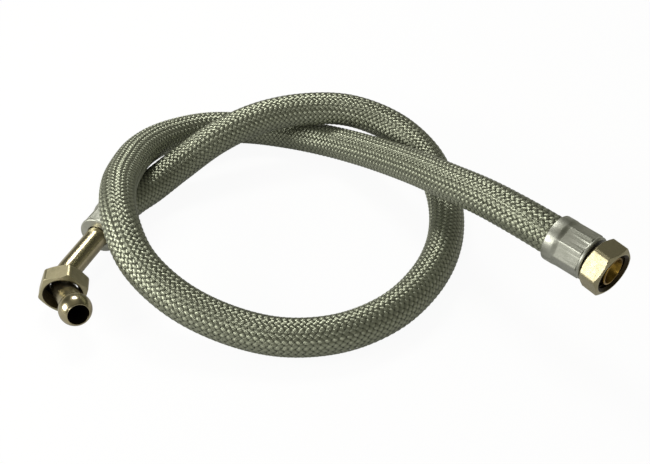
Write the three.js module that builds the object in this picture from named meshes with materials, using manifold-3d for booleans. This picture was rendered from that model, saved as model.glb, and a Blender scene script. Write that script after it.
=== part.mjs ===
// A braided fuel hose, lying in a loose loop on a flat surface.
// One end has a straight union, the other a bent pipe with a ball end.
// Millimetres, +Z up, the surface it lies on at z = 0.

import * as THREE from 'three';
import { mergeVertices } from 'three/addons/utils/BufferGeometryUtils.js';
import Module from 'manifold-3d';

const wasm = await Module();
wasm.setup();

// Driving dimensions of the hose
const hoseDiameter = 16;      // over the crowns of the wire braid
const braidCrown = 0.25;      // height of the crowns over the braid's even surface
const braidWall = 1.1;
const linerBore = 9;

// Clearance between pieces that touch on the real hose
const clearance = 0.3;

// How finely the round forms are divided
const hoseSides = 12;
const hoseSteps = 60;
const pipeSides = 18;
const pipeSteps = 18;
const ballRings = 14;
const turnedSegments = 32;

// Driving dimensions of the crimped ferrules, which fit round the hose and cover the stem's tail
const tailLength = 13.5;
const tailCover = 1.8;        // how much further than the tail the ferrule reaches
const ferruleGrip = tailLength + tailCover;
const ferruleNose = 2.1;      // length beyond the hose's end
const bulgeWall = 1.5;        // the ferrule's thickness outside the hose
const flatWall = 0.65;        // the same, at the flats of the eight-sided crimp
const cornerWall = 1.3;
const lipWall = 1;
const bulgeDiameter = hoseDiameter + 2 * bulgeWall;
const crimpAcross = hoseDiameter + 2 * flatWall;
const crimpCorners = hoseDiameter + 2 * cornerWall;
const lipDiameter = hoseDiameter + 2 * lipWall;
const bulgeLength = 5.5;
const lipLength = 1.6;
const ferruleEdge = 0.7;      // rounding of the ferrule's ends
const crimpSides = 8;
const straightCrimpTurn = 4;  // degrees from upright to the crimp's first corner
const bentCrimpTurn = -20;

// Driving dimensions of the stems and the bent pipe
const stemBore = 6;
const barbPitch = 4.2;
const barbDepth = 0.5;
const neckDiameter = 10.4;
const collarDiameter = 13.2;
const collarLength = 1.6;
const nozzleDiameter = 11.7;
const nozzleLength = 3.4;     // from the collar to the tip
const nozzleMouth = 10.2;
const nozzleMouthDepth = 4;
const pipeDiameter = 10;
const pipeBore = 8;
const pipeStraight = 23.5;    // from the ferrule's end to the bend
const bendRadius = 18.7;
const bendAngle = 49.3;       // degrees
const bendRise = 13.6;        // degrees that the bend's plane leans up from level
const pipeReach = 17.7;       // from the bend to the middle of the ball
const ballDiameter = 13.8;
const ballMouth = 8.8;
const ballRim = 0.4;          // flat ring round the ball's mouth
const stemEdge = 0.4;

// Driving dimensions of the union nuts
const nutAcross = 18.8;       // across flats
const nutLength = 8.6;
const nutFaceDiameter = 17.6; // of the round land at each end of a nut
const nutChamfer = 30;        // degrees
const nutLip = 2;
const nutLipBore = 12.4;
const nutThreadBore = 14.6;
const nutMouth = 16.8;
const nutSides = 6;

// How each loose nut hangs on its stem: its lean away from the stem's line, the way it
// leans and its own turn, in degrees, and how far its lip is off the stem's middle
const straightNutHang = { cock: 5.7, heading: 122, turn: 27, slack: [0, 0] };
const bentNutHang = { cock: 10, heading: 150, turn: 36, slack: [0.34, -0.65] };
const bentNutPlace = 34.3;    // along the pipe from the ferrule to the nut's lip

// Route of the hose's centre line, from the straight end to the bent end
const route = [
	[102.7, -36.8, 43.6], [97.4, -30.9, 44.1], [91.9, -24.9, 44.7], [82.4, -13.7, 45.2],
	[70.1, 4.7, 42.6], [58.4, 24.4, 37], [47.6, 45.3, 30], [36.3, 65.7, 22.5],
	[23.8, 84.2, 16], [8.8, 101.2, 10.5], [-10.2, 113.7, 8], [-32.7, 119.2, 9],
	[-54.7, 114.7, 13], [-72.7, 100.7, 17.5], [-82.2, 80.7, 23], [-85.7, 58.2, 28],
	[-85.7, 35.7, 32.5], [-81.7, 12.7, 32.5], [-72.7, -7.3, 26], [-56.7, -21.8, 18],
	[-36.2, -31.3, 11.5], [-14.2, -36.8, 8.5], [8.8, -35.3, 8], [29.3, -24.8, 8],
	[44.8, -7.3, 8], [54.8, 13.2, 8], [59.8, 36.2, 8], [59.8, 59.2, 9.5],
	[53.8, 81.2, 14], [39.8, 98.2, 19.5], [18.8, 107.2, 24.5], [-4.2, 107.7, 26],
	[-26.7, 102.2, 25], [-47.2, 92.7, 20.5], [-65.7, 80.7, 13.3], [-78.3, 68.3, 10],
	[-86.3, 58.4, 10], [-91, 49.6, 10], [-94.1, 41.9, 9.85], [-97.2, 34.2, 9.7],
].map(([x, y, z]) => new THREE.Vector3(x, y, z));

const up = new THREE.Vector3(0, 0, 1);
const radians = THREE.MathUtils.degToRad;

// Solids for the cuts
function toSolid(geometry) {
	const bare = geometry.clone();
	bare.deleteAttribute('normal');
	bare.deleteAttribute('uv');
	const merged = mergeVertices(bare, 1e-5);
	return new wasm.Manifold(new wasm.Mesh({
		numProp: 3,
		vertProperties: new Float32Array(merged.attributes.position.array),
		triVerts: new Uint32Array(merged.index.array),
	}));
}

function toGeometry(solid) {
	const mesh = solid.getMesh();
	const geometry = new THREE.BufferGeometry();
	geometry.setAttribute('position', new THREE.BufferAttribute(new Float32Array(mesh.vertProperties), 3));
	geometry.setIndex(new THREE.BufferAttribute(new Uint32Array(mesh.triVerts), 1));
	geometry.computeVertexNormals();
	return geometry;
}

// A form turned about +Z from [radius, height] points, which close on themselves or on the axis
function turned(points, segments) {
	const outline = points.map(([radius, height]) => new THREE.Vector2(radius, height));
	const closed = points[0][0] > 0 ? [...outline, outline[0].clone()] : outline;
	return new THREE.LatheGeometry(closed, segments).rotateX(Math.PI / 2);
}

// A prism with flat sides, its first corner towards +X
function prism(sides, across, from, to) {
	const outline = polygon(new THREE.Shape(), sides, across / 2 / Math.cos(Math.PI / sides));
	return new THREE.ExtrudeGeometry(outline, { depth: to - from, bevelEnabled: false }).translate(0, 0, from);
}

// Traces a regular polygon on a path, its first corner towards +X
function polygon(path, sides, corner) {
	for (let side = 0; side < sides; side++) {
		const angle = 2 * Math.PI * side / sides;
		const place = [corner * Math.cos(angle), corner * Math.sin(angle)];
		if (side === 0) path.moveTo(...place);
		else path.lineTo(...place);
	}
	path.closePath();
	return path;
}

// The hose's centre line and the direction in which each end leaves it
const centreLine = new THREE.CatmullRomCurve3(route, false, 'centripetal');
const straightEnd = route[0];
const straightAxis = route[0].clone().sub(route[1]).normalize();
const bentEnd = route.at(-1);
const bentAxis = bentEnd.clone().sub(route.at(-2)).normalize();

// A group whose +Z points along an axis, and whose +X is as near to upright as it can be
function fittingFrame(origin, axis) {
	const upright = up.clone().addScaledVector(axis, -up.dot(axis)).normalize();
	const side = axis.clone().cross(upright);
	const frame = new THREE.Group();
	frame.quaternion.setFromRotationMatrix(new THREE.Matrix4().makeBasis(upright, side, axis));
	frame.position.copy(origin);
	return frame;
}

// A tube along the hose's centre line
function hoseTube(radius, bore) {
	const section = polygon(new THREE.Shape(), hoseSides, radius);
	section.holes.push(polygon(new THREE.Path(), hoseSides, bore));
	return new THREE.ExtrudeGeometry(section, { steps: hoseSteps, extrudePath: centreLine });
}

const braidRadius = hoseDiameter / 2 - braidCrown;
const linerRadius = braidRadius - braidWall - clearance;
const flatShare = Math.cos(Math.PI / hoseSides);

// The ferrule, with z = 0 at the hose's end and its nose towards +Z
function ferrule(shankDiameter, crimpTurn) {
	const bore = braidRadius + clearance;
	const rim = -ferruleGrip;
	const nose = ferruleNose;
	const bulge = bulgeDiameter / 2;
	const lip = lipDiameter / 2;
	const crimp = crimpCorners / 2;
	const crimpStart = rim + bulgeLength + ferruleEdge;
	const crimpEnd = nose - lipLength;
	const shank = shankDiameter / 2 + clearance;
	const body = toSolid(turned([
		[bore, rim],
		[bulge - ferruleEdge, rim],
		[bulge, rim + ferruleEdge],
		[bulge, rim + bulgeLength],
		[crimp, crimpStart],
		[crimp, crimpEnd],
		[lip, crimpEnd + clearance],
		[lip, nose - ferruleEdge],
		[lip - ferruleEdge, nose],
		[shank, nose],
		[shank, clearance],
		[bore, clearance],
	], turnedSegments));
	const cutter = toSolid(new THREE.ExtrudeGeometry(crimpRing(), {
		depth: crimpEnd - crimpStart,
		bevelEnabled: false,
	}).rotateZ(radians(crimpTurn)).translate(0, 0, crimpStart));
	return toGeometry(body.subtract(cutter));
}

// What the crimping jaws press away: a round ring with an eight-sided hole
function crimpRing() {
	const ring = new THREE.Shape().absarc(0, 0, bulgeDiameter, 0, 2 * Math.PI);
	ring.holes.push(polygon(new THREE.Path(), crimpSides, crimpAcross / 2 / Math.cos(Math.PI / crimpSides)));
	return ring;
}

// The barbed tail that each stem has inside the liner, as outline points from its tip to the hose's end
function barbedTail() {
	const crest = linerBore / 2 * flatShare - clearance;
	const root = crest - barbDepth;
	const points = [[stemBore / 2, -tailLength], [root, -tailLength]];
	for (let barb = -tailLength; barb + barbPitch < -clearance; barb += barbPitch) {
		points.push([crest, barb + barbPitch / 2], [crest, barb + barbPitch - barbDepth], [root, barb + barbPitch]);
	}
	points.push([root, 0]);
	return points;
}

// The straight end's turned stem: tail, neck, collar and open nozzle
const straightCock = radians(straightNutHang.cock);
const ferruleFace = lipDiameter / 2 - ferruleEdge;
const straightNutPlace = ferruleNose + clearance + nutLip / 2 + ferruleFace * Math.sin(straightCock);
const collarStart = straightNutPlace + nutLip / 2 + clearance + collarDiameter / 2 * Math.sin(straightCock);
const collarEnd = collarStart + collarLength;
const nozzleTip = collarEnd + nozzleLength;

function straightStem() {
	const neck = neckDiameter / 2;
	const collar = collarDiameter / 2;
	const nozzle = nozzleDiameter / 2;
	return turned([
		...barbedTail(),
		[neck, clearance],
		[neck, collarStart],
		[collar, collarStart],
		[collar, collarEnd],
		[nozzle, collarEnd],
		[nozzle, nozzleTip - stemEdge],
		[nozzle - stemEdge, nozzleTip],
		[nozzleMouth / 2, nozzleTip],
		[stemBore / 2, nozzleTip - nozzleMouthDepth],
	], turnedSegments);
}

// Centre line of the bent pipe in its ferrule's frame: straight, bend, straight
class PipeLine extends THREE.Curve {
	constructor(start, beyond) {
		super();
		this.start = start;
		this.bendStart = ferruleNose + pipeStraight;
		this.bendLength = bendRadius * radians(bendAngle);
		this.length = this.bendStart - start + this.bendLength + pipeReach + beyond;
		this.lean = new THREE.Vector3(Math.sin(radians(bendRise)), -Math.cos(radians(bendRise)), 0);
	}
	direction(turn) {
		return new THREE.Vector3(0, 0, Math.cos(turn)).addScaledVector(this.lean, Math.sin(turn));
	}
	at(along) {
		const turn = THREE.MathUtils.clamp((along - this.bendStart) / this.bendLength, 0, 1) * radians(bendAngle);
		const beyond = Math.max(0, along - this.bendStart - this.bendLength);
		return new THREE.Vector3(0, 0, Math.min(along, this.bendStart) + bendRadius * Math.sin(turn))
			.addScaledVector(this.lean, bendRadius * (1 - Math.cos(turn)))
			.addScaledVector(this.direction(turn), beyond);
	}
	getPoint(share, target = new THREE.Vector3()) {
		return target.copy(this.at(this.start + share * this.length));
	}
}

function pipeRod(line, diameter) {
	const section = polygon(new THREE.Shape(), pipeSides, diameter / 2);
	return toSolid(new THREE.ExtrudeGeometry(section, { steps: pipeSteps, extrudePath: line }));
}

// The bent end's stem in one piece: barbed tail, bent pipe and ball end, bored through
function bentStem() {
	const line = new PipeLine(clearance, 0);
	const ball = line.at(clearance + line.length);
	const leave = line.direction(radians(bendAngle));
	const facing = new THREE.Quaternion().setFromUnitVectors(up, leave);
	const onBall = (geometry) => toSolid(geometry.applyQuaternion(facing).translate(ball.x, ball.y, ball.z));
	const radius = ballDiameter / 2;
	const mouth = ballMouth / 2;
	const flat = Math.sqrt(radius ** 2 - (mouth + ballRim) ** 2);
	const back = flat - 2 * radius;
	const sink = flat - 2 * (mouth - pipeBore / 2);
	const tail = toSolid(turned([...barbedTail(), [pipeDiameter / 2, clearance],
		[pipeDiameter / 2, ferruleNose], [stemBore / 2, ferruleNose]], turnedSegments));
	const sphere = new THREE.SphereGeometry(radius, turnedSegments, ballRings).rotateX(Math.PI / 2);
	const head = onBall(sphere)
		.intersect(onBall(turned([[0, back], [radius, back], [radius, flat], [0, flat]], turnedSegments)));
	const countersink = onBall(turned([[0, sink], [pipeBore / 2, sink], [mouth, flat],
		[mouth, radius + clearance], [0, radius + clearance]], turnedSegments));
	const bore = pipeRod(new PipeLine(ferruleNose - clearance, radius), pipeBore);
	const tailBore = toSolid(turned([[0, -tailLength], [stemBore / 2, -tailLength],
		[stemBore / 2, ferruleNose], [0, ferruleNose]], turnedSegments));
	return toGeometry(tail.add(pipeRod(line, pipeDiameter)).add(head)
		.subtract(bore).subtract(tailBore).subtract(countersink));
}

// A union nut, its lip's middle at z = 0 and its mouth towards +Z
function unionNut() {
	const back = -nutLip / 2;
	const front = back + nutLength;
	const land = nutFaceDiameter / 2;
	const corner = nutAcross / 2 / Math.cos(Math.PI / nutSides) + clearance;
	const slope = (corner - land) * Math.tan(radians(nutChamfer));
	const lip = nutLipBore / 2;
	const thread = nutThreadBore / 2;
	const mouth = nutMouth / 2;
	const mouthDepth = mouth - thread;
	const hexagon = toSolid(prism(nutSides, nutAcross, back, front));
	const chamfered = toSolid(turned([[0, back], [land, back], [corner, back + slope], [corner, front - slope],
		[land, front], [0, front]], turnedSegments));
	const bore = toSolid(turned([[0, back - clearance], [lip, back - clearance], [lip, back + nutLip],
		[thread, back + nutLip], [thread, front - mouthDepth], [mouth, front], [mouth, front + clearance],
		[0, front + clearance]], turnedSegments));
	return toGeometry(hexagon.intersect(chamfered).subtract(bore));
}

// Turns a nut about its own axis, then leans it towards a heading round its stem
function hang(nut, { cock, heading, turn, slack }) {
	const hinge = new THREE.Vector3(-Math.sin(radians(heading)), Math.cos(radians(heading)), 0);
	nut.quaternion.setFromAxisAngle(hinge, radians(cock))
		.multiply(new THREE.Quaternion().setFromAxisAngle(up, radians(turn)));
	nut.position.set(slack[0], slack[1], 0);
	return nut;
}

function piece(name, geometry, material) {
	const mesh = new THREE.Mesh(geometry, material);
	mesh.name = name;
	return mesh;
}

// Finishes
const rubber = () => new THREE.MeshStandardMaterial({ color: 0x1d1c1a, roughness: 0.7 });
const wireBraid = () => new THREE.MeshStandardMaterial({ color: 0x6e7262, roughness: 0.4, metalness: 0.9 });
const zincPlate = () => new THREE.MeshStandardMaterial({ color: 0xa9aaa4, roughness: 0.35, metalness: 1 });
const nickelPlate = () => new THREE.MeshStandardMaterial({ color: 0xb0a98e, roughness: 0.3, metalness: 1 });
const paleBrass = () => new THREE.MeshStandardMaterial({ color: 0xb39a55, roughness: 0.3, metalness: 1 });

const hose = new THREE.Group();
hose.add(piece('hose_liner', hoseTube(linerRadius, linerBore / 2), rubber()));
hose.add(piece('wire_braid', hoseTube(braidRadius, braidRadius - braidWall), wireBraid()));

const straightFitting = fittingFrame(straightEnd, straightAxis);
straightFitting.add(piece('straight_end_ferrule', ferrule(neckDiameter, straightCrimpTurn), zincPlate()));
straightFitting.add(piece('straight_stem', straightStem(), paleBrass()));
const straightNut = hang(piece('straight_end_union_nut', unionNut(), nickelPlate()), straightNutHang);
straightNut.position.z += straightNutPlace;
straightFitting.add(straightNut);

const bentFitting = fittingFrame(bentEnd, bentAxis);
bentFitting.add(piece('bent_end_ferrule', ferrule(pipeDiameter, bentCrimpTurn), zincPlate()));
bentFitting.add(piece('bent_pipe_stem', bentStem(), nickelPlate()));

// The bent end's nut hangs on the pipe where the bend begins to straighten
bentFitting.updateMatrixWorld();
const pipeLine = new PipeLine(0, 0);
const nutSpot = ferruleNose + bentNutPlace;
const nutOrigin = bentFitting.localToWorld(pipeLine.at(nutSpot));
const nutAxis = bentFitting.localToWorld(pipeLine.at(nutSpot + 1))
	.sub(bentFitting.localToWorld(pipeLine.at(nutSpot - 1))).normalize();
const bentNutFrame = fittingFrame(nutOrigin, nutAxis);
bentNutFrame.add(hang(piece('bent_end_union_nut', unionNut(), nickelPlate()), bentNutHang));

// It has slid down until one corner rests on the surface
bentNutFrame.updateMatrixWorld();
bentNutFrame.position.z -= new THREE.Box3().setFromObject(bentNutFrame, true).min.z;

const fuelHose = new THREE.Group();
fuelHose.add(hose, straightFitting, bentFitting, bentNutFrame);

export default fuelHose;
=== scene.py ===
"""Draws a wire-braided fuel hose that lies in a loose loop on a plain floor.

One end has a straight stem in a loose union nut. The other has a bent pipe with a ball end,
and its union nut has slid down the pipe.
"""

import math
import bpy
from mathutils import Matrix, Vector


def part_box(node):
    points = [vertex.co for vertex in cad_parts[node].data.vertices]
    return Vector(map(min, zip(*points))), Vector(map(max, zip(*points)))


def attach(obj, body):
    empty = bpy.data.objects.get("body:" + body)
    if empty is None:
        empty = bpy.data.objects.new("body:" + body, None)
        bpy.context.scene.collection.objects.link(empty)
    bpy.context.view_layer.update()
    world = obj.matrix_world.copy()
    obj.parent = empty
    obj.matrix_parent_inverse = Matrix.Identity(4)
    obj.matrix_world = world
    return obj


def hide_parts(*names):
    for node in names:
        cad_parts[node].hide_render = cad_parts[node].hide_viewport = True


bl_info = {
    "name": "Fuel Hose",
    "version": (1, 0, 0),
    "blender": (4, 5, 0),
    "location": "3D Viewport > Sidebar > Fuel Hose",
    "description": "Builds a braided fuel hose with its end fittings, and the studio it is shown in",
    "category": "Add Mesh",
}

import bmesh
import bpy
from bpy.props import FloatProperty, FloatVectorProperty, IntProperty, PointerProperty
from mathutils import Matrix, Quaternion, Vector

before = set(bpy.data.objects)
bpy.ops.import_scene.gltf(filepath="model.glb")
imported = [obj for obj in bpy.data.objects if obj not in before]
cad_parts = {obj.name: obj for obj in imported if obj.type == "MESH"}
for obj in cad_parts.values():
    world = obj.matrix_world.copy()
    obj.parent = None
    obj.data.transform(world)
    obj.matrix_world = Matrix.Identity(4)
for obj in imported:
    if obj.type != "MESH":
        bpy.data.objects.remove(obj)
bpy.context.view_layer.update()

MM = 0.001
UP = Vector((0, 0, 1))

# Centre line of the hose in millimetres, from the straight end to the bent end
ROUTE = [
    (102.7, -36.8, 43.6), (97.4, -30.9, 44.1), (91.9, -24.9, 44.7), (82.4, -13.7, 45.2),
    (70.1, 4.7, 42.6), (58.4, 24.4, 37), (47.6, 45.3, 30), (36.3, 65.7, 22.5),
    (23.8, 84.2, 16), (8.8, 101.2, 10.5), (-10.2, 113.7, 8), (-32.7, 119.2, 9),
    (-54.7, 114.7, 13), (-72.7, 100.7, 17.5), (-82.2, 80.7, 23), (-85.7, 58.2, 28),
    (-85.7, 35.7, 32.5), (-81.7, 12.7, 32.5), (-72.7, -7.3, 26), (-56.7, -21.8, 18),
    (-36.2, -31.3, 11.5), (-14.2, -36.8, 8.5), (8.8, -35.3, 8), (29.3, -24.8, 8),
    (44.8, -7.3, 8), (54.8, 13.2, 8), (59.8, 36.2, 8), (59.8, 59.2, 9.5),
    (53.8, 81.2, 14), (39.8, 98.2, 19.5), (18.8, 107.2, 24.5), (-4.2, 107.7, 26),
    (-26.7, 102.2, 25), (-47.2, 92.7, 20.5), (-65.7, 80.7, 13.3), (-78.3, 68.3, 10),
    (-86.3, 58.4, 10), (-91, 49.6, 10), (-94.1, 41.9, 9.85), (-97.2, 34.2, 9.7),
]
ROUTE = [Vector(point) * MM for point in ROUTE]


# ---------------------------------------------------------------- sizes and colours

def length(name, description, default):
    return FloatProperty(name=name, description=description, default=default, min=0,
                         unit="LENGTH", precision=5)


def angle(name, description, degrees):
    return FloatProperty(name=name, description=description, default=math.radians(degrees),
                         subtype="ANGLE")


def linear(code):
    """Linear colour of an sRGB hex code such as "8f9184"."""
    parts = [int(code[place:place + 2], 16) / 255 for place in (0, 2, 4)]
    return tuple(part / 12.92 if part <= 0.04045 else ((part + 0.055) / 1.055) ** 2.4
                 for part in parts)


def colour(name, description, code):
    return FloatVectorProperty(name=name, description=description, default=linear(code),
                               size=3, min=0, max=1, subtype="COLOR")


class HoseSettings(bpy.types.PropertyGroup):
    diameter: length("Diameter", "Over the crowns of the wire braid", 0.016)
    bore: length("Bore", "Inside the rubber", 0.009)
    rubber_diameter: length("Rubber diameter", "Over the rubber under the braid", 0.0146)
    ribbon_count: IntProperty(name="Ribbons", default=16, min=4,
                              description="Ribbons of wire wound each way, an even number")
    ribbon_width: length("Ribbon width", "Across one flat ribbon of wires", 0.0017)
    ribbon_angle: angle("Ribbon angle", "Between a ribbon and the hose's line", 49.5)
    weave_height: length("Weave height", "From a ribbon's mean level to where it passes over", 0.00019)
    flatness: FloatProperty(name="Flatness", default=0.7, min=0.2, max=1,
                            description="Below 1, the ribbons run flatter where they pass over")
    ribbon_crown: length("Ribbon crown", "How far a ribbon's edges lie below its middle", 0.00016)
    wire_count: IntProperty(name="Wires", default=6, min=1,
                            description="Wires side by side in one ribbon")
    wire_colour: colour("Wire colour", "Plated wire in the light", "a4a893")
    # The gap colour is painted shade: it darkens the ribbons' edges, the places where they pass under and
    # the grooves between wires
    gap_shade_colour: colour("Gap colour", "Dulled wire between the ribbons", "1c1e17")
    rubber_colour: colour("Rubber colour", "Rubber seen between the wires", "0a0a08")


class FerruleSettings(bpy.types.PropertyGroup):
    grip: length("Grip", "Length over the hose", 0.0153)
    nose: length("Nose", "Length beyond the hose's end", 0.0021)
    bore: length("Bore", "Inside the ferrule, round the braid", 0.0161)
    bulge_diameter: length("Bulge diameter", "Of the rounded rim that the jaws leave", 0.019)
    bulge_length: length("Bulge length", "Of the rounded rim", 0.0055)
    shoulder: length("Shoulder", "Slope from the rim to the crimp", 0.0022)
    crimp_across: length("Crimp across flats", "Across the pressed flats", 0.0173)
    crimp_corners: length("Crimp across corners", "Over the ridges between the flats", 0.0186)
    crimp_sides: IntProperty(name="Crimp sides", description="Pressed flats round the ferrule",
                             default=8, min=3)
    lip_diameter: length("Lip diameter", "Of the collar at the nose", 0.018)
    lip_length: length("Lip length", "Of the collar at the nose", 0.0016)
    edge: length("Edge radius", "Rounding of the ends", 0.0007)
    straight_turn: angle("Straight end's turn", "Of the crimp, from upright", 4)
    bent_turn: angle("Bent end's turn", "Of the crimp, from upright", -20)
    zinc_colour: colour("Zinc colour", "Plating of the ferrules", "b4b5ab")
    stain_colour: colour("Stain colour", "Duller patches of the plating", "84877a")


class StemSettings(bpy.types.PropertyGroup):
    bore: length("Bore", "Through the stem", 0.006)
    tail: length("Tail", "Length inside the hose", 0.0135)
    neck_diameter: length("Neck diameter", "Where the nut hangs", 0.0104)
    collar_diameter: length("Collar diameter", "Of the collar that the nut pulls on", 0.0132)
    collar_length: length("Collar length", "Of the collar", 0.0016)
    nozzle_diameter: length("Nozzle diameter", "Outside the open nozzle", 0.0117)
    nozzle_length: length("Nozzle length", "From the collar to the tip", 0.0034)
    mouth_diameter: length("Mouth diameter", "Inside the nozzle's tip", 0.0102)
    mouth_depth: length("Mouth depth", "From the tip to the narrow bore", 0.004)
    brass_colour: colour("Brass colour", "Turned brass of the nozzle", "a8873c")
    tarnish_colour: colour("Tarnish colour", "Darker brass inside the nozzle", "3c2b0e")


class PipeSettings(bpy.types.PropertyGroup):
    diameter: length("Diameter", "Outside the pipe", 0.01)
    bore: length("Bore", "Inside the pipe", 0.008)
    straight: length("Straight", "From the ferrule to the bend", 0.0235)
    bend_radius: length("Bend radius", "Of the pipe's centre line", 0.0187)
    bend_angle: angle("Bend angle", "Through which the pipe turns", 49.3)
    bend_rise: angle("Bend rise", "Of the bend's plane above level", 13.6)
    reach: length("Reach", "From the bend to the middle of the ball", 0.0177)
    ball_diameter: length("Ball diameter", "Of the ball end", 0.0138)
    mouth_diameter: length("Mouth diameter", "Inside the ball's flat face", 0.0088)
    rim: length("Rim", "Width of the flat ring round the mouth", 0.0004)
    plate_colour: colour("Plating colour", "Smooth plating of the pipe and the ball", "b3a98a")
    # The inside colour is painted shade in the pipe's bore
    inside_shade_colour: colour("Inside colour", "Bare metal inside the pipe", "2a2319")


class NutSettings(bpy.types.PropertyGroup):
    across: length("Across flats", "Of the hexagon", 0.0188)
    length: length("Length", "Along the nut's axis", 0.0086)
    land_diameter: length("Land diameter", "Of the round face at each end", 0.0176)
    chamfer: angle("Chamfer", "From the end faces", 30)
    lip: length("Lip", "Thickness of the lip that holds the stem's collar", 0.002)
    lip_bore: length("Lip bore", "Through the lip", 0.0124)
    thread_bore: length("Thread bore", "Inside the thread's crests", 0.0146)
    thread_pitch: length("Thread pitch", "From one turn to the next", 0.0015)
    thread_depth: length("Thread depth", "From crest to root", 0.0006)
    mouth_diameter: length("Mouth diameter", "Of the nut's open mouth", 0.0168)
    edge: length("Edge radius", "Rounding of the corners", 0.00018)
    bent_place: length("Place on the pipe", "From the ferrule to the lip of the loose nut", 0.0343)
    plate_colour: colour("Plating colour", "Pale yellowish plating of the nuts", "b3ab8b")
    # The inside colour is painted shade in the nuts' thread and bore
    inside_shade_colour: colour("Inside colour", "Oily thread inside the nuts", "3a3222")


class StageSettings(bpy.types.PropertyGroup):
    floor_colour: colour("Floor colour", "Plain floor", "dcdcd8")
    camera_lens: FloatProperty(name="Lens", description="Of the camera, on a 36 mm sensor",
                               default=55.38, unit="CAMERA")
    key_power: FloatProperty(name="Top light", description="Power of the soft light above and behind",
                             default=2.5, unit="POWER")
    fill_power: FloatProperty(name="Side light", description="Power of the low light on the left",
                              default=2.4, unit="POWER")
    front_power: FloatProperty(name="Front light", default=0.9, unit="POWER",
                               description="Power of the small light near the camera")
    sky_strength: FloatProperty(name="Sky strength", description="Strength of the even light all round",
                                default=0.55)


# ---------------------------------------------------------------- geometry

def centre_line(points, steps=24):
    """Points of a centripetal Catmull-Rom curve through the route."""
    ends = [2 * points[0] - points[1], *points, 2 * points[-1] - points[-2]]
    line = []
    for before, start, end, after in zip(ends, ends[1:], ends[2:], ends[3:]):
        gap_before = math.sqrt((start - before).length)
        gap = math.sqrt((end - start).length)
        gap_after = math.sqrt((after - end).length)
        leave = ((start - before) / gap_before - (end - before) / (gap_before + gap)
                 + (end - start) / gap) * gap
        arrive = ((end - start) / gap - (after - start) / (gap + gap_after)
                  + (after - end) / gap_after) * gap
        for step in range(steps):
            t = step / steps
            line.append(start + leave * t + (3 * (end - start) - 2 * leave - arrive) * t ** 2
                        + (2 * (start - end) + leave + arrive) * t ** 3)
    return [*line, points[-1].copy()]


class HoseLine:
    """Places on the hose: along its line, round it and out from it."""

    def __init__(self, points, spacing=0.00025):
        line = centre_line(points)
        reach = [0.0]
        for start, end in zip(line, line[1:]):
            reach.append(reach[-1] + (end - start).length)
        self.length = reach[-1]
        count = round(self.length / spacing)
        self.spacing = self.length / count
        self.centres, self.sides, self.tops = [], [], []
        piece = 0
        for step in range(count + 1):
            along = step * self.spacing
            while piece < len(line) - 2 and reach[piece + 1] < along:
                piece += 1
            share = (along - reach[piece]) / (reach[piece + 1] - reach[piece])
            self.centres.append(line[piece].lerp(line[piece + 1], share))
        heading = (self.centres[1] - self.centres[0]).normalized()
        top = (UP - heading * UP.dot(heading)).normalized()
        for step in range(count + 1):
            ahead = self.centres[min(step + 1, count)] - self.centres[max(step - 1, 0)]
            turned_heading = ahead.normalized()
            top = heading.rotation_difference(turned_heading) @ top
            heading = turned_heading
            top = (top - heading * top.dot(heading)).normalized()
            self.tops.append(top)
            self.sides.append(heading.cross(top))

    def at(self, along, turn, radius):
        place = min(max(along / self.spacing, 0), len(self.centres) - 1.001)
        step = int(place)
        share = place - step
        centre = self.centres[step].lerp(self.centres[step + 1], share)
        return (centre + self.tops[step].lerp(self.tops[step + 1], share) * (radius * math.cos(turn))
                + self.sides[step].lerp(self.sides[step + 1], share) * (radius * math.sin(turn)))


def fitting_matrix(origin, axis):
    """Frame whose Z runs along an axis and whose X is as near to upright as it can be."""
    upright = (UP - axis * UP.dot(axis)).normalized()
    side = axis.cross(upright)
    matrix = Matrix((upright, side, axis)).transposed().to_4x4()
    matrix.translation = origin
    return matrix


STRAIGHT_AXIS = (ROUTE[0] - ROUTE[1]).normalized()
BENT_AXIS = (ROUTE[-1] - ROUTE[-2]).normalized()
STRAIGHT_FRAME = fitting_matrix(ROUTE[0], STRAIGHT_AXIS)
BENT_FRAME = fitting_matrix(ROUTE[-1], BENT_AXIS)

# Room left between pieces that press on each other on a real hose
CLEARANCE = 0.0003

# Sides of the CAD hose, whose flats lie a little inside its bore
HOSE_SIDES = 12

# Sides round the bent pipe
PIPE_SIDES = 72

# Barbs of both tails: from one to the next, from a barb's start to the end of its crest, and its height
BARB_PITCH = 0.0042
BARB_BACK = 0.0037
BARB_HEIGHT = 0.0005

# Edges sharper than this are rounded
ROUNDED_FROM = math.radians(28)

# How each nut hangs: its lean, the way it leans and its turn about its own axis
STRAIGHT_COCK, STRAIGHT_HEADING, STRAIGHT_TURN = (math.radians(value) for value in (5.7, 122, 27))
BENT_COCK, BENT_HEADING, BENT_TURN = (math.radians(value) for value in (10, 150, 36))

# How far the loose nut lies off the pipe's centre line
BENT_SLACK = Vector((0.00034, -0.00065, 0))

# Where the lights point, and their slightly warm white
LIGHT_AIM = Vector((0, 0.03, 0))
LIGHT_TINT = (1, 0.99, 0.96)


def grid(bm, rings):
    """Faces between rings of vertices that have the same count, and from the last ring to the first."""
    faces = []
    for first, second in zip(rings, rings[1:] + rings[:1]):
        for place in range(len(first)):
            after = (place + 1) % len(first)
            faces.append(bm.faces.new((first[place], first[after], second[after], second[place])))
    return faces


def turned(bm, points, segments, limit=None):
    """Spins a closed outline of (radius, height) points about Z; limit caps a radius at an angle."""
    outline = [bm.verts.new((radius, 0, height)) for radius, height in points]
    edges = [bm.edges.new(pair) for pair in zip(outline, outline[1:] + outline[:1])]
    bmesh.ops.spin(bm, geom=[*outline, *edges], cent=(0, 0, 0), axis=UP, angle=2 * math.pi,
                   steps=segments, use_merge=True)
    if limit:
        for vert in bm.verts:
            place = vert.co
            share = min(limit(math.atan2(place.y, place.x), place.z) / math.hypot(place.x, place.y), 1)
            vert.co = (place.x * share, place.y * share, place.z)


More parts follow.
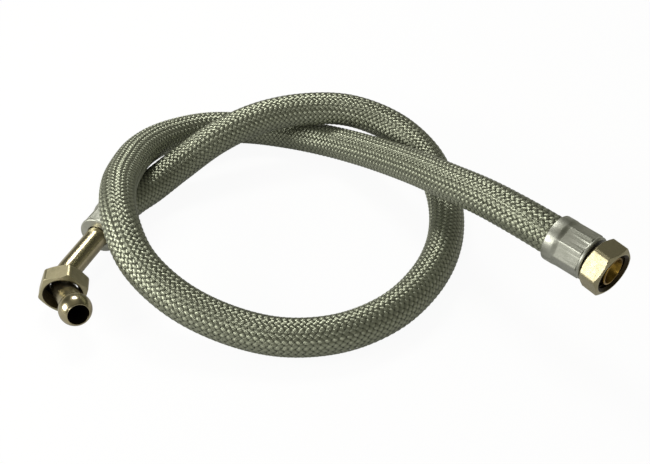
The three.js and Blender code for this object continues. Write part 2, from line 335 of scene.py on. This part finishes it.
def arc(radius, height, size, start, end, steps=4):
    """Points of a rounded edge about a (radius, height) centre, between angles in degrees."""
    points = []
    for step in range(steps + 1):
        turn = math.radians(start + (end - start) * step / steps)
        points.append((radius + size * math.cos(turn), height + size * math.sin(turn)))
    return points


def finished(name, bm, matrix, body, material, replaced, smooth=35, edge=0):
    """Makes the object, rounds and smooths it, and sets it in place of its CAD node."""
    bmesh.ops.remove_doubles(bm, verts=bm.verts, dist=1e-7)
    bmesh.ops.recalc_face_normals(bm, faces=bm.faces)
    mesh = bpy.data.meshes.new(name)
    bm.to_mesh(mesh)
    bm.free()
    mesh.transform(matrix)
    piece = bpy.data.objects.new(name, mesh)
    bpy.context.scene.collection.objects.link(piece)
    mesh.materials.append(material)
    if edge:
        bevel = piece.modifiers.new("Rounded edges", "BEVEL")
        bevel.width = edge
        bevel.segments = 2
        bevel.limit_method = "ANGLE"
        bevel.angle_limit = ROUNDED_FROM
    mesh.shade_smooth()
    mesh.set_sharp_from_angle(angle=math.radians(smooth))
    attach(piece, body)
    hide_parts(replaced)
    return piece


# ---------------------------------------------------------------- materials

def shade(paint, strength):
    """A colour made darker, or lighter with a strength above 1."""
    return tuple(part * strength for part in paint)


def new_material(name):
    material = bpy.data.materials.new(name)
    material.use_nodes = True
    material.node_tree.nodes.clear()
    return material


def add_node(tree, kind, links=None, values=None, **settings):
    """Adds one node, sets its properties and socket values, and links its inputs."""
    node = tree.nodes.new(kind)
    for setting, value in settings.items():
        setattr(node, setting, value)
    for socket, value in (values or {}).items():
        node.inputs[socket].default_value = value
    for socket, source in (links or {}).items():
        tree.links.new(source, node.inputs[socket])
    return node


def ramp(tree, source, stops):
    """Colour ramp from (place, colour) stops."""
    node = add_node(tree, "ShaderNodeValToRGB", {"Fac": source})
    elements = node.color_ramp.elements
    while len(elements) < len(stops):
        elements.new(0.5)
    for element, (place, value) in zip(elements, stops):
        element.position = place
        element.color = (*value, 1)
    return node.outputs["Color"]


def math_node(tree, operation, first, second=0.0, third=None):
    """Result of a Math node, whose inputs are numbers or sockets."""
    links, values = {}, {}
    for socket, value in enumerate((first, second, third)):
        if value is None:
            continue
        (links if isinstance(value, bpy.types.NodeSocket) else values)[socket] = value
    return add_node(tree, "ShaderNodeMath", links, values, operation=operation).outputs[0]


def mix_colours(tree, share, first, second):
    """Mix of two colours, which are inputs 6 and 7 of the Mix node, as its result is output 2."""
    return add_node(tree, "ShaderNodeMix", {0: share}, {6: (*first, 1), 7: (*second, 1)},
                    data_type="RGBA").outputs[2]


def object_noise(tree, scale, detail=3.0, roughness=0.55):
    """Soft noise in patches per metre of the object: at 1000, they are about a millimetre across."""
    place = add_node(tree, "ShaderNodeTexCoord").outputs["Object"]
    return add_node(tree, "ShaderNodeTexNoise", {"Vector": place},
                    {"Scale": scale, "Detail": detail, "Roughness": roughness}).outputs["Fac"]


def surface(tree, base, roughness, metallic, bump):
    """Principled surface on the material's output; its roughness is a number or a socket."""
    links, values = {"Base Color": base, "Normal": bump}, {"Metallic": metallic}
    (links if isinstance(roughness, bpy.types.NodeSocket) else values)["Roughness"] = roughness
    shader = add_node(tree, "ShaderNodeBsdfPrincipled", links, values)
    add_node(tree, "ShaderNodeOutputMaterial", {"Surface": shader.outputs[0]})
    return shader


def braid_material(settings):
    """Ribbons of fine plated steel wires: u runs across a ribbon, v along it in crossings.

    Where a ribbon passes over, it glints across its wires. Towards its edges, where it passes under and
    in the grooves between its wires, its colour is darkened as painted shade.
    The photo doesn't show how many wires a ribbon has, so their number is a guess.
    """
    # The first two numbers set the painted shade in the grooves between wires and where a ribbon passes
    # under; the third sets random patches of tone
    groove_shade, dip_shade, patchiness = 0.3, 0.55, 0.5
    smoothest, roughness_spread, metal, brushed = 0.31, 0.16, 0.82, 0.9
    material = new_material("braided_wire")
    tree = material.node_tree
    split = add_node(tree, "ShaderNodeSeparateXYZ",
                     {"Vector": add_node(tree, "ShaderNodeUVMap", uv_map="Weave").outputs[0]})
    across, along = split.outputs[0], split.outputs[1]
    wires = math_node(tree, "MULTIPLY", across, math.pi * settings.wire_count)
    round_wires = math_node(tree, "ABSOLUTE", math_node(tree, "SINE", wires))
    edge = math_node(tree, "SINE", math_node(tree, "MULTIPLY", across, math.pi))
    over = math_node(tree, "MULTIPLY_ADD", math_node(tree, "COSINE", math_node(
        tree, "MULTIPLY", along, math.pi)), 0.5, 0.5)
    # Painted shade towards the ribbons' edges and where they pass under the other ribbons
    unshaded_share = math_node(tree, "MULTIPLY", math_node(tree, "POWER", edge, 0.2),
                           math_node(tree, "MULTIPLY_ADD", over, dip_shade, 1 - dip_shade))
    # Painted shade in the grooves between the wires, on top of that at the edges and under-crossings
    grooves = math_node(tree, "MULTIPLY", unshaded_share, math_node(
        tree, "MULTIPLY_ADD", round_wires, groove_shade, 1 - groove_shade))
    patches = math_node(tree, "MULTIPLY_ADD", object_noise(tree, 900, 2.0), patchiness,
                        1 - patchiness / 2)
    lit = math_node(tree, "MULTIPLY", grooves, patches)
    base = mix_colours(tree, lit, settings.gap_shade_colour, settings.wire_colour)
    roughness = math_node(tree, "MULTIPLY_ADD", object_noise(tree, 400), roughness_spread, smoothest)
    bump = add_node(tree, "ShaderNodeBump", {"Height": round_wires},
                    {"Strength": 0.3, "Distance": 0.0001}).outputs[0]
    shader = surface(tree, base, roughness, metal, bump)
    shader.inputs["Anisotropic"].default_value = brushed
    tangent = add_node(tree, "ShaderNodeTangent", direction_type="UV_MAP", uv_map="Weave")
    tree.links.new(tangent.outputs[0], shader.inputs["Tangent"])
    return material


def rubber_material(settings):
    """Extruded rubber: nearly black and without gloss, seen as dark points between the ribbons."""
    material = new_material("hose_rubber")
    tree = material.node_tree
    grain = object_noise(tree, 3000)
    base = mix_colours(tree, grain, settings.rubber_colour, shade(settings.rubber_colour, 1.6))
    bump = add_node(tree, "ShaderNodeBump", {"Height": grain}, {"Strength": 0.4, "Distance": 0.0001})
    surface(tree, base, roughness=0.75, metallic=0.0, bump=bump.outputs[0])
    return material


def plated_material(name, bright, dull, roughness, spread, grain=500, scratches=0.00003,
                    patchiness=0.5):
    """Turned, pressed or plated metal with duller patches and very fine handling marks.

    Its roughness varies by the spread. The grain is in patches per metre, as for object_noise.
    """
    material = new_material(name)
    tree = material.node_tree
    patches = object_noise(tree, grain * 0.5, 4.0, 0.6)
    fine = object_noise(tree, grain * 8, 2.0)
    share = add_node(tree, "ShaderNodeMapRange", {"Value": patches},
                     {"From Min": 0.35, "From Max": 0.7, "To Min": 0, "To Max": patchiness}).outputs[0]
    base = mix_colours(tree, share, bright, dull)
    rough = math_node(tree, "MULTIPLY_ADD", patches, spread, roughness - spread / 2)
    bump = add_node(tree, "ShaderNodeBump", {"Height": math_node(tree, "ADD", fine, patches)},
                    {"Strength": 0.35, "Distance": scratches}).outputs[0]
    surface(tree, base, rough, metallic=1.0, bump=bump)
    return material


# ---------------------------------------------------------------- pieces

def scatter(*numbers):
    """A steady value between -1 and 1 for a set of whole numbers."""
    factors = (12.9898, 78.233, 37.719)
    mixed = math.sin(sum(number * factor for number, factor in zip(numbers, factors)))
    return 2 * ((mixed * 43758.5453) % 1.0) - 1


def add_rubber(settings, line):
    """Tube of rubber on the hose's line, open at both ends of its bore."""
    bm = bmesh.new()
    sides, steps = 40, 400
    outer, inner = [], []
    for step in range(steps + 1):
        along = line.length * step / steps
        for rings, radius in ((outer, settings.rubber_diameter / 2), (inner, settings.bore / 2)):
            rings.append([bm.verts.new(line.at(along, 2 * math.pi * side / sides, radius))
                          for side in range(sides)])
    grid(bm, outer + inner[::-1])
    return finished("hose_rubber", bm, Matrix(), "hose", rubber_material(settings),
                    "hose_liner")


def add_ribbons(name, settings, line, way, start, end, material):
    """Flat ribbons of wire wound one way round the hose, over and under those wound the other way."""
    count = settings.ribbon_count
    lean = settings.ribbon_angle
    middle = settings.diameter / 2 - settings.weave_height
    turn_rate = math.tan(lean) / middle
    crossings = count * turn_rate / math.pi
    first, last = round(start * crossings), round(end * crossings)
    steps_each = 4
    unevenness = 0.06
    across = (-1, -0.55, 0, 0.55, 1)
    half = settings.ribbon_width / 2
    under_first = 0 if way > 0 else 1
    bm = bmesh.new()
    weave = bm.loops.layers.uv.new("Weave")
    for ribbon in range(count):
        before = None
        for step in range((last - first) * steps_each + 1):
            crossing = first + step / steps_each
            along = crossing / crossings
            wave = way * math.cos(math.pi * crossing)
            wave = math.copysign(abs(wave) ** settings.flatness, wave)
            near = round(crossing)
            drift = unevenness * scatter(ribbon, near, way) * max(0, wave)
            row = []
            for share in across:
                offset = half * (share + drift)
                place = along - way * offset * math.sin(lean)
                turn = way * turn_rate * along + 2 * math.pi * ribbon / count \
                    + offset * math.cos(lean) / middle
                radius = middle + settings.weave_height * wave - settings.ribbon_crown * share ** 2
                row.append(bm.verts.new(line.at(place, turn, radius)))
            if before:
                last_row, last_crossing = before
                for column in range(len(across) - 1):
                    after = column + 1
                    face = bm.faces.new((last_row[column], last_row[after], row[after], row[column]))
                    face.smooth = True
                    corners = ((column, last_crossing), (after, last_crossing), (after, crossing),
                               (column, crossing))
                    for loop, (edge, reach) in zip(face.loops, corners):
                        loop[weave].uv = ((across[edge] + 1) / 2, reach + under_first)
            before = (row, crossing)
    mesh = bpy.data.meshes.new(name)
    bm.to_mesh(mesh)
    bm.free()
    mesh.materials.append(material)
    piece = bpy.data.objects.new(name, mesh)
    bpy.context.scene.collection.objects.link(piece)
    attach(piece, "hose")
    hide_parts("wire_braid")
    return piece


class FUELHOSE_OT_hose(bpy.types.Operator):
    """Add the rubber hose and the wire braid woven round it"""
    bl_idname = "fuelhose.hose"
    bl_label = "Hose"
    bl_options = {"REGISTER", "UNDO"}

    def execute(self, context):
        settings = context.scene.fuel_hose
        line = HoseLine(ROUTE)
        rubber = add_rubber(settings, line)
        material = braid_material(settings)
        # The ribbons end inside the ferrules, and their two halves keep each mesh small
        inside_ferrule, path_step = 0.012, 8
        start, end = inside_ferrule, line.length - inside_ferrule
        half = (start + end) / 2
        for way, winding in ((1, "right"), (-1, "left")):
            for part, (low, high) in enumerate(((start, half), (half, end)), 1):
                add_ribbons(f"wire_ribbons_{winding}_{part}", settings, line, way,
                                           low, high, material)
        return {"FINISHED"}


def crimp_limit(settings, turn_offset):
    """Radius left by the crimping jaws at an angle round the ferrule and a height along it."""
    rim = settings.bulge_diameter / 2
    crimp_start = -settings.grip + settings.bulge_length + settings.edge
    crimp_end = settings.nose - settings.lip_length
    half = math.pi / settings.crimp_sides
    rounding_error = 1e-9

    def limit(turn, height):
        if not crimp_start - settings.shoulder <= height <= crimp_end + rounding_error:
            return math.inf
        from_corner = (turn - turn_offset) % (2 * half)
        flat = settings.crimp_across / 2 / math.cos(from_corner - half)
        share = min((height - crimp_start) / settings.shoulder + 1, 1)
        return rim + (min(flat, settings.crimp_corners / 2) - rim) * share ** 2 * (3 - 2 * share)

    return limit


def add_ferrule(name, settings, matrix, shank, turn, material, replaced):
    rim, nose, edge = -settings.grip, settings.nose, settings.edge
    bulge, lip, bore = settings.bulge_diameter / 2, settings.lip_diameter / 2, settings.bore / 2
    crimp = settings.crimp_corners / 2
    crimp_start = rim + settings.bulge_length + edge
    crimp_end = nose - settings.lip_length
    hole = shank / 2 + CLEARANCE
    slope_steps = 8
    lip_edge, lip_rise = edge * 0.6, 0.0001
    points = [
        (bore, rim), *arc(bulge - edge, rim + edge, edge, 270, 360),
        *[(bulge, crimp_start - settings.shoulder * (1 - step / slope_steps))
          for step in range(slope_steps + 1)],
        (crimp, crimp_end), *arc(lip - lip_edge, crimp_end + lip_edge + lip_rise, lip_edge, 300, 360, 3),
        *arc(lip - edge, nose - edge, edge, 0, 90),
        (hole, nose), (hole, CLEARANCE), (bore, CLEARANCE),
    ]
    bm = bmesh.new()
    turned(bm, points, 160, crimp_limit(settings, turn))
    return finished(name, bm, matrix, "hose", material, replaced, smooth=30, edge=0.00012)


class FUELHOSE_OT_ferrules(bpy.types.Operator):
    """Add the two crimped ferrules"""
    bl_idname = "fuelhose.ferrules"
    bl_label = "Crimped Ferrules"
    bl_options = {"REGISTER", "UNDO"}

    def execute(self, context):
        scene = context.scene
        settings = scene.fuel_hose_ferrules
        # Zinc-plated steel, pressed: a soft grey gloss that the jaws and handling have clouded
        material = plated_material("zinc_plate", settings.zinc_colour, settings.stain_colour,
                                   roughness=0.44, spread=0.2, grain=420, scratches=0.00005)
        add_ferrule("crimped_ferrule_straight", settings, STRAIGHT_FRAME,
                    scene.fuel_hose_stem.neck_diameter, settings.straight_turn, material,
                    "straight_end_ferrule")
        add_ferrule("crimped_ferrule_bent", settings, BENT_FRAME, scene.fuel_hose_pipe.diameter,
                    settings.bent_turn, material, "bent_end_ferrule")
        return {"FINISHED"}


def barbed_tail(settings, hose):
    """Outline of the tail inside the hose, from its tip to the hose's end."""
    crest = hose.bore / 2 * math.cos(math.pi / HOSE_SIDES) - CLEARANCE
    root = crest - BARB_HEIGHT
    points = [(settings.bore / 2, -settings.tail), (root, -settings.tail)]
    barb = -settings.tail
    while barb + BARB_PITCH < -CLEARANCE:
        points += [(crest, barb + BARB_PITCH / 2), (crest, barb + BARB_BACK), (root, barb + BARB_PITCH)]
        barb += BARB_PITCH
    return [*points, (root, 0)]


def straight_places(scene):
    """Heights on the straight stem's axis: the nut's lip, and the collar's start and end."""
    ferrule, stem, nut = scene.fuel_hose_ferrules, scene.fuel_hose_stem, scene.fuel_hose_nuts
    face = ferrule.lip_diameter / 2 - ferrule.edge
    lip = ferrule.nose + CLEARANCE + nut.lip / 2 + face * math.sin(STRAIGHT_COCK)
    collar = lip + nut.lip / 2 + CLEARANCE + stem.collar_diameter / 2 * math.sin(STRAIGHT_COCK)
    return lip, collar, collar + stem.collar_length


class FUELHOSE_OT_stem(bpy.types.Operator):
    """Add the straight end's turned stem and open nozzle"""
    bl_idname = "fuelhose.stem"
    bl_label = "Straight Stem"
    bl_options = {"REGISTER", "UNDO"}

    def execute(self, context):
        scene = context.scene
        settings = scene.fuel_hose_stem
        neck, collar, nozzle = (size / 2 for size in (
            settings.neck_diameter, settings.collar_diameter, settings.nozzle_diameter))
        start, end = straight_places(scene)[1:]
        tip = end + settings.nozzle_length
        mouth, bore = settings.mouth_diameter / 2, settings.bore / 2
        mouth_floor = tip - settings.mouth_depth
        outer_edge, inner_edge, taper, taper_length = 0.00035, 0.00015, 0.0003, 0.0005
        points = [
            *barbed_tail(settings, scene.fuel_hose), (neck, CLEARANCE), (neck, start), (collar, start),
            (collar, end), (nozzle, end), *arc(nozzle - outer_edge, tip - outer_edge, outer_edge, 0, 90),
            *arc(mouth + inner_edge, tip - inner_edge, inner_edge, 90, 180, 3),
            (bore + taper, mouth_floor + taper_length), (bore, mouth_floor),
        ]
        bm = bmesh.new()
        turned(bm, points, 96)
        # Turned brass: warm yellow, tarnished brown in patches
        material = plated_material("stem_brass", settings.brass_colour, settings.tarnish_colour,
                                   roughness=0.3, spread=0.2, grain=600, patchiness=0.8)
        finished("turned_stem", bm, STRAIGHT_FRAME, "hose", material, "straight_stem",
                 smooth=30, edge=0.0001)
        return {"FINISHED"}


class PipeLine:
    """Centre line of the bent pipe in its ferrule's frame: straight, bend, straight."""

    def __init__(self, pipe, nose):
        self.pipe = pipe
        self.bend_start = nose + pipe.straight
        self.bend_length = pipe.bend_radius * pipe.bend_angle
        self.end = self.bend_start + self.bend_length + pipe.reach
        self.lean = Vector((math.sin(pipe.bend_rise), -math.cos(pipe.bend_rise), 0))
        self.binormal = UP.cross(self.lean)

    def turn(self, along):
        return min(max((along - self.bend_start) / self.bend_length, 0), 1) * self.pipe.bend_angle

    def direction(self, along):
        turn = self.turn(along)
        return UP * math.cos(turn) + self.lean * math.sin(turn)

    def point(self, along):
        turn = self.turn(along)
        beyond = max(0, along - self.bend_start - self.bend_length)
        return (UP * (min(along, self.bend_start) + self.pipe.bend_radius * math.sin(turn))
                + self.lean * self.pipe.bend_radius * (1 - math.cos(turn))
                + self.direction(along) * beyond)

    def ring(self, bm, along, radius):
        centre = self.point(along)
        across = self.binormal.cross(self.direction(along))
        turns = [2 * math.pi * side / PIPE_SIDES for side in range(PIPE_SIDES)]
        return [bm.verts.new(centre + (self.binormal * math.cos(turn) + across * math.sin(turn)) * radius)
                for turn in turns]


class FUELHOSE_OT_pipe(bpy.types.Operator):
    """Add the bent pipe with its barbed tail and ball end"""
    bl_idname = "fuelhose.pipe"
    bl_label = "Bent Pipe"
    bl_options = {"REGISTER", "UNDO"}

    def execute(self, context):
        scene = context.scene
        settings = scene.fuel_hose_pipe
        nose = scene.fuel_hose_ferrules.nose
        line = PipeLine(settings, nose)
        outer, inner = settings.diameter / 2, settings.bore / 2
        ball, mouth = settings.ball_diameter / 2, settings.mouth_diameter / 2
        # Distances from the ball's middle to its flat face and to the pipe's neck
        flat = math.sqrt(ball ** 2 - (mouth + settings.rim) ** 2)
        neck = math.sqrt(ball ** 2 - outer ** 2)
        face, throat = line.end + flat, line.end - neck
        fillet, mouth_edge, ball_steps = 0.0003, 0.0002, 28
        profile = [(height, radius)
                   for radius, height in barbed_tail(scene.fuel_hose_stem, scene.fuel_hose)]
        profile += [(CLEARANCE, outer)]
        profile += [(along, outer) for along in self.between(CLEARANCE + MM, throat - 2 * fillet, 0.0007)]
        profile += [(throat - fillet, outer + 0.00004), (throat, outer + 0.00018)]
        for step in range(1, ball_steps + 1):
            height = -neck + (flat + neck) * step / ball_steps
            profile.append((line.end + height, math.sqrt(ball ** 2 - height ** 2)))
        profile += [(face + 0.00005, mouth + settings.rim * 0.75),
                    (face + 0.00002, mouth + settings.rim * 0.25), (face - mouth_edge, mouth)]
        outside = (len(profile) - 1) * PIPE_SIDES
        profile += [(face - 2 * (mouth - inner) - mouth_edge, inner)]
        profile += [(along, inner) for along in self.between(nose, throat, 0.0011)[::-1]]
        profile += [(nose, scene.fuel_hose_stem.bore / 2)]
        bm = bmesh.new()
        faces = grid(bm, [line.ring(bm, along, radius) for along, radius in profile])
        for inner_face in faces[outside:]:
            inner_face.material_index = 1
        # Plated steel tube, drawn: smooth and glossy outside; its bore is coloured dark as painted shade
        material = plated_material("pipe_plate", settings.plate_colour,
                                   shade(settings.plate_colour, 0.7), roughness=0.24, spread=0.12,
                                   grain=350)
        inside = plated_material("bore_painted_shade", settings.inside_shade_colour,
                                 shade(settings.inside_shade_colour, 0.5), roughness=0.6, spread=0.1)
        piece = finished("bent_pipe", bm, BENT_FRAME, "hose", material, "bent_pipe_stem",
                         smooth=30)
        piece.data.materials.append(inside)
        return {"FINISHED"}

    @staticmethod
    def between(start, end, step):
        """Even places from start to end, about a step apart."""
        count = round((end - start) / step)
        return [start + (end - start) * place / count for place in range(count + 1)]


def hang(cock, heading, turn):
    """Turn of a nut about its axis, then its lean towards a heading round its stem."""
    hinge = Vector((-math.sin(heading), math.cos(heading), 0))
    return (Quaternion(hinge, cock) @ Quaternion(UP, turn)).to_matrix().to_4x4()


def nut_mesh(settings):
    """Hexagon nut: its lip's middle at z = 0 and its threaded mouth towards +Z.

    The end faces slope down from their round lands to the corners, as turned chamfers do. The thread's
    grooves don't climb.
    """
    back = -settings.lip / 2
    front = back + settings.length
    land = settings.land_diameter / 2
    flat = settings.across / 2
    corner_wear = 0.00025
    corner = flat / math.cos(math.pi / 6) - corner_wear
    slope = math.tan(settings.chamfer)
    segments = 144
    bm = bmesh.new()

    def hexagon(turn):
        from_flat = (turn % (math.pi / 3)) - math.pi / 6
        return min(flat / math.cos(from_flat), corner)

    def ring(radius, height):
        points = []
        for place in range(segments):
            turn = 2 * math.pi * place / segments
            reach = radius(turn) if callable(radius) else radius
            level = height(reach) if callable(height) else height
            points.append(bm.verts.new((reach * math.cos(turn), reach * math.sin(turn), level)))
        return points

    def front_level(reach):
        return front - (reach - land) * slope

    def back_level(reach):
        return back + (reach - land) * slope

    rings = [ring(land, back), ring(hexagon, back_level)]
    for share in (0.3, 0.5, 0.7):
        rings.append(ring(hexagon, lambda reach, share=share: back_level(reach) * (1 - share)
                          + front_level(reach) * share))
    rings += [ring(hexagon, front_level), ring(land, front)]
    mouth, thread, lip = (size / 2 for size in (
        settings.mouth_diameter, settings.thread_bore, settings.lip_bore))
    rings.append(ring(mouth, front))
    outside = (len(rings) - 1) * segments
    pitch, root, shelf = settings.thread_pitch, thread + settings.thread_depth, back + settings.lip
    height = front - (mouth - thread)
    while height - pitch > shelf:
        rings += [ring(thread, height), ring(thread, height - pitch * 0.15),
                  ring(root, height - pitch * 0.5), ring(root, height - pitch * 0.62)]
        height -= pitch
    rings += [ring(thread, height), ring(thread, shelf), ring(lip, shelf), ring(lip, back)]
    for face in grid(bm, rings)[outside:]:
        face.material_index = 1
    return bm


class FUELHOSE_OT_nuts(bpy.types.Operator):
    """Add the two loose union nuts"""
    bl_idname = "fuelhose.nuts"
    bl_label = "Union Nuts"
    bl_options = {"REGISTER", "UNDO"}

    def execute(self, context):
        scene = context.scene
        settings = scene.fuel_hose_nuts
        # Plated steel, machined: pale yellow with a satin gloss; its thread inside is coloured dark as
        # painted shade
        material = plated_material("nut_plate", settings.plate_colour,
                                   shade(settings.plate_colour, 0.72), roughness=0.4, spread=0.2,
                                   grain=900, scratches=0.00006, patchiness=0.7)
        inside = plated_material("thread_painted_shade", settings.inside_shade_colour,
                                 shade(settings.inside_shade_colour, 0.5), roughness=0.4, spread=0.2,
                                 grain=700)
        lip = straight_places(scene)[0]
        straight = STRAIGHT_FRAME @ Matrix.Translation((0, 0, lip)) \
            @ hang(STRAIGHT_COCK, STRAIGHT_HEADING, STRAIGHT_TURN)
        piece = finished("union_nut_straight", nut_mesh(settings), straight, "straight_nut",
                         material, "straight_end_union_nut", smooth=30, edge=settings.edge)
        piece.data.materials.append(inside)
        nose = scene.fuel_hose_ferrules.nose
        line = PipeLine(scene.fuel_hose_pipe, nose)
        spot = nose + settings.bent_place
        origin = BENT_FRAME @ line.point(spot)
        axis = (BENT_FRAME @ line.point(spot + MM) - BENT_FRAME @ line.point(spot - MM)).normalized()
        bent = fitting_matrix(origin, axis) @ Matrix.Translation(BENT_SLACK) \
            @ hang(BENT_COCK, BENT_HEADING, BENT_TURN)
        bm = nut_mesh(settings)
        # The loose nut stands as low as its solid does
        lowest = min((bent @ vertex.co).z for vertex in bm.verts)
        bent = Matrix.Translation((0, 0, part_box("bent_end_union_nut")[0][2] - lowest)) @ bent
        piece = finished("union_nut_bent", bm, bent, "bent_nut", material,
                         "bent_end_union_nut", smooth=30, edge=settings.edge)
        piece.data.materials.append(inside)
        return {"FINISHED"}


# ---------------------------------------------------------------- stage

def area_light(name, place, size, power):
    """Soft rectangular light that points at the hose."""
    light = bpy.data.lights.new(name, "AREA")
    light.shape = "RECTANGLE"
    light.size, light.size_y = size
    light.energy = power
    light.color = LIGHT_TINT
    lamp = bpy.data.objects.new(name, light)
    lamp.location = place
    lamp.rotation_mode = "QUATERNION"
    lamp.rotation_quaternion = (LIGHT_AIM - Vector(place)).to_track_quat("-Z", "Y")
    bpy.context.scene.collection.objects.link(lamp)


class FUELHOSE_OT_stage(bpy.types.Operator):
    """Add the camera, the floor and the studio lights"""
    bl_idname = "fuelhose.stage"
    bl_label = "Stage"
    bl_options = {"REGISTER", "UNDO"}

    def execute(self, context):
        scene = context.scene
        settings = scene.fuel_hose_stage
        self.add_camera(scene, settings)
        self.add_floor(scene, settings)
        self.light_world(scene, settings)
        area_light("top_light", (-0.12, 0.4, 0.58), (0.22, 0.17), settings.key_power)
        area_light("side_light", (-0.52, -0.13, 0.25), (0.24, 0.2), settings.fill_power)
        area_light("front_light", (-0.3, -0.75, 0.45), (0.16, 0.16), settings.front_power)
        scene.view_settings.view_transform = "Standard"
        return {"FINISHED"}

    @staticmethod
    def add_camera(scene, settings):
        """Camera in front, about 38 degrees above the floor's level."""
        data = bpy.data.cameras.new("camera")
        data.sensor_width = 36
        data.lens = settings.camera_lens
        data.clip_start, data.clip_end = 0.01, 20
        camera = bpy.data.objects.new("camera", data)
        scene.collection.objects.link(camera)
        camera.matrix_world = Matrix((
            (0.99915, 0.04126, 0, 0.0043),
            (-0.0254, 0.61514, -0.78801, -0.3243),
            (-0.03251, 0.78734, 0.61566, 0.28511),
            (0, 0, 0, 1),
        ))
        scene.camera = camera

    @staticmethod
    def add_floor(scene, settings):
        """Pale floor that looks white to the camera and in reflections, and keeps the hose's shadow."""
        bm = bmesh.new()
        bmesh.ops.create_grid(bm, x_segments=1, y_segments=1, size=6)
        mesh = bpy.data.meshes.new("floor")
        bm.to_mesh(mesh)
        bm.free()
        floor = bpy.data.objects.new("floor", mesh)
        scene.collection.objects.link(floor)
        material = new_material("plain_floor")
        tree = material.node_tree
        camera_share, shown_share, mirrored_glow = 0.39, 0.55, 0.28
        seen = add_node(tree, "ShaderNodeLightPath")
        camera_ray = seen.outputs["Is Camera Ray"]
        shown = math_node(tree, "MAXIMUM", camera_ray, seen.outputs["Is Glossy Ray"])
        diffuse = add_node(tree, "ShaderNodeBsdfDiffuse", values={"Color": (*settings.floor_colour, 1)})
        brightness = math_node(tree, "MULTIPLY_ADD", camera_ray, 1 - mirrored_glow, mirrored_glow)
        glow = add_node(tree, "ShaderNodeEmission", {"Strength": brightness}, {"Color": (1, 1, 1, 1)})
        share = math_node(tree, "MULTIPLY_ADD", camera_ray, camera_share,
                          math_node(tree, "MULTIPLY", shown, shown_share))
        mix = add_node(tree, "ShaderNodeMixShader",
                       {0: share, 1: diffuse.outputs[0], 2: glow.outputs[0]})
        add_node(tree, "ShaderNodeOutputMaterial", {"Surface": mix.outputs[0]})
        mesh.materials.append(material)

    @staticmethod
    def light_world(scene, settings):
        """Even light on the object, studio walls in reflections, and white to the camera."""
        world = bpy.data.worlds.new("studio")
        world.use_nodes = True
        scene.world = world
        tree = world.node_tree
        tree.nodes.clear()
        seen = add_node(tree, "ShaderNodeLightPath")
        plain = add_node(tree, "ShaderNodeBackground",
                         values={"Color": (1, 0.985, 0.95, 1), "Strength": settings.sky_strength})
        level = add_node(tree, "ShaderNodeSeparateXYZ",
                         {0: add_node(tree, "ShaderNodeTexCoord").outputs["Generated"]}).outputs[2]
        walls = ramp(tree, level, [
            (0.0, linear("e9e7dc")), (0.1, linear("a3a18c")), (0.3, linear("64645a")),
            (0.75, linear("52524a")), (1.0, linear("8a897a"))])
        mirrored = add_node(tree, "ShaderNodeBackground", {"Color": walls}, {"Strength": 1.0})
        shown = add_node(tree, "ShaderNodeBackground", values={"Color": (1, 1, 1, 1), "Strength": 1.0})
        room = add_node(tree, "ShaderNodeMixShader",
                        {0: seen.outputs["Is Glossy Ray"], 1: plain.outputs[0], 2: mirrored.outputs[0]})
        mix = add_node(tree, "ShaderNodeMixShader",
                       {0: seen.outputs["Is Camera Ray"], 1: room.outputs[0], 2: shown.outputs[0]})
        add_node(tree, "ShaderNodeOutputWorld", {"Surface": mix.outputs[0]})


# ---------------------------------------------------------------- add-on

class FUELHOSE_PT_panel(bpy.types.Panel):
    bl_label = "Fuel Hose"
    bl_idname = "FUELHOSE_PT_panel"
    bl_space_type = "VIEW_3D"
    bl_region_type = "UI"
    bl_category = "Fuel Hose"

    def draw(self, context):
        for operator in OPERATORS:
            self.layout.operator(operator.bl_idname)
        for attribute, group in GROUPS.items():
            box = self.layout.box()
            box.label(text=group.__name__.replace("Settings", ""))
            for name in group.__annotations__:
                box.prop(getattr(context.scene, attribute), name)


GROUPS = {
    "fuel_hose": HoseSettings,
    "fuel_hose_ferrules": FerruleSettings,
    "fuel_hose_stem": StemSettings,
    "fuel_hose_pipe": PipeSettings,
    "fuel_hose_nuts": NutSettings,
    "fuel_hose_stage": StageSettings,
}
OPERATORS = (FUELHOSE_OT_stage, FUELHOSE_OT_ferrules, FUELHOSE_OT_stem, FUELHOSE_OT_pipe,
             FUELHOSE_OT_nuts, FUELHOSE_OT_hose)


def register():
    for cls in (*GROUPS.values(), *OPERATORS, FUELHOSE_PT_panel):
        bpy.utils.register_class(cls)
    for attribute, group in GROUPS.items():
        setattr(bpy.types.Scene, attribute, PointerProperty(type=group))


def unregister():
    for attribute in GROUPS:
        delattr(bpy.types.Scene, attribute)
    for cls in (FUELHOSE_PT_panel, *reversed(OPERATORS), *GROUPS.values()):
        bpy.utils.unregister_class(cls)


def main():
    register()
    bpy.ops.fuelhose.stage()
    bpy.ops.fuelhose.ferrules()
    bpy.ops.fuelhose.stem()
    bpy.ops.fuelhose.pipe()
    bpy.ops.fuelhose.nuts()
    bpy.ops.fuelhose.hose()


if __name__ == "__main__":
    main()
